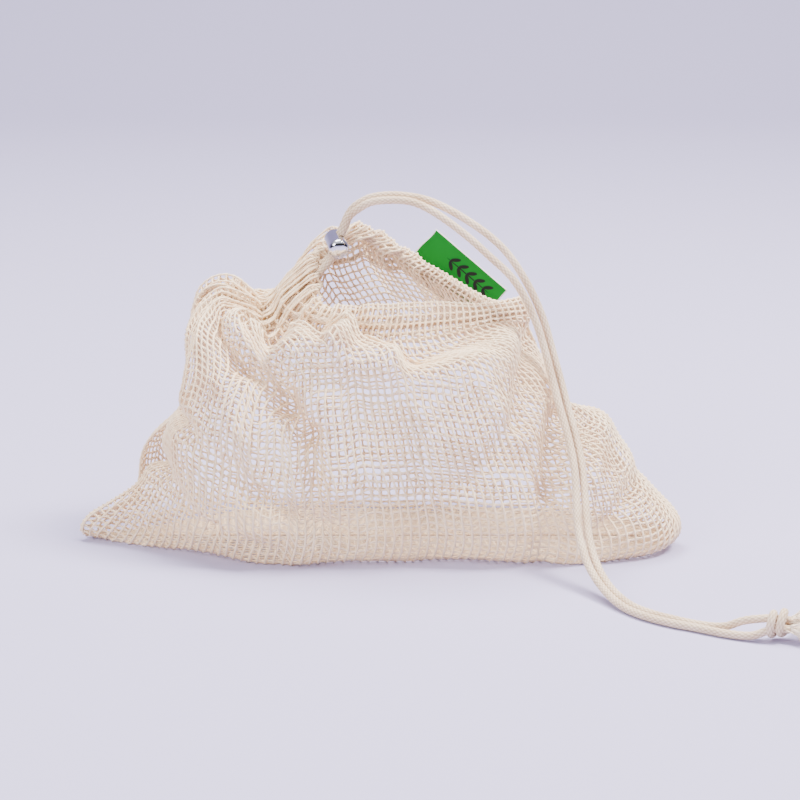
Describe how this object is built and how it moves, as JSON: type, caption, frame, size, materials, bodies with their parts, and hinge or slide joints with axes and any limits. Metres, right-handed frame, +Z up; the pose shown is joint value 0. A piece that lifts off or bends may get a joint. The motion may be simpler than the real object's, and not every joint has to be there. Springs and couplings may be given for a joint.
{
  "type": "mesh laundry bag",
  "caption": "Open-net cotton drawstring bag, full and slumped on its floor seam, with a gathered mouth, spring cord lock, knotted cord and side label.",
  "frame": {"origin": "on the floor, in the middle of the bag's footprint", "axes": "+X from the left ear to the right ear, along the floor seam, +Y from the near rim to the far rim, +Z up"},
  "size_m": [0.2887, 0.2081, 0.14],
  "materials": {
    "net": "undyed cotton net, matt, slightly fuzzy yarn",
    "thread": "undyed cotton thread and loose yarn, matt",
    "cord": "round braided cotton cord, matt",
    "label": "woven satin label with a small leaf motif and a white selvedge",
    "chrome": "polished chrome plate",
    "spring": "drawn spring wire"
  },
  "bodies": {
    "bag": {"front_panel": "net", "back_panel": "net", "bottom_seam": "net", "side_seam_left": "net", "side_seam_right": "net", "hem_front": "net", "hem_back": "net", "hem_stitching": "thread", "label_stitching": "thread", "drawcord_loop": "cord", "cord_strand_a": "cord", "cord_strand_b": "cord", "knot": "cord", "frayed_end_a": "thread", "frayed_end_b": "thread"},
    "label": {"label": "label"},
    "lock": {"lock_barrel": "chrome", "lock_spring": "spring"},
    "plunger": {"lock_plunger": "chrome"}
  },
  "joints": [
    {"name": "lock_slide", "type": "slide", "parent": "bag", "child": "lock", "axis": [0.3985, -0.0862, 0.9131], "range_m": [0, 0.006]},
    {"name": "plunger_press", "type": "slide", "parent": "lock", "child": "plunger", "axis": [0.1582, -0.9742, -0.161], "range_m": [0, 0.002], "stiffness_N_per_m": 1500, "springref_m": -0.002, "deforming": ["lock_spring"]},
    {"name": "label_fold", "type": "hinge", "parent": "bag", "child": "label", "pos_m": [0.024, 0.0375, 0.091], "axis": [-0.7529, -0.0526, 0.6561], "range_deg": [0, 95], "stiffness_Nm_per_rad": 0.001}
  ]
}
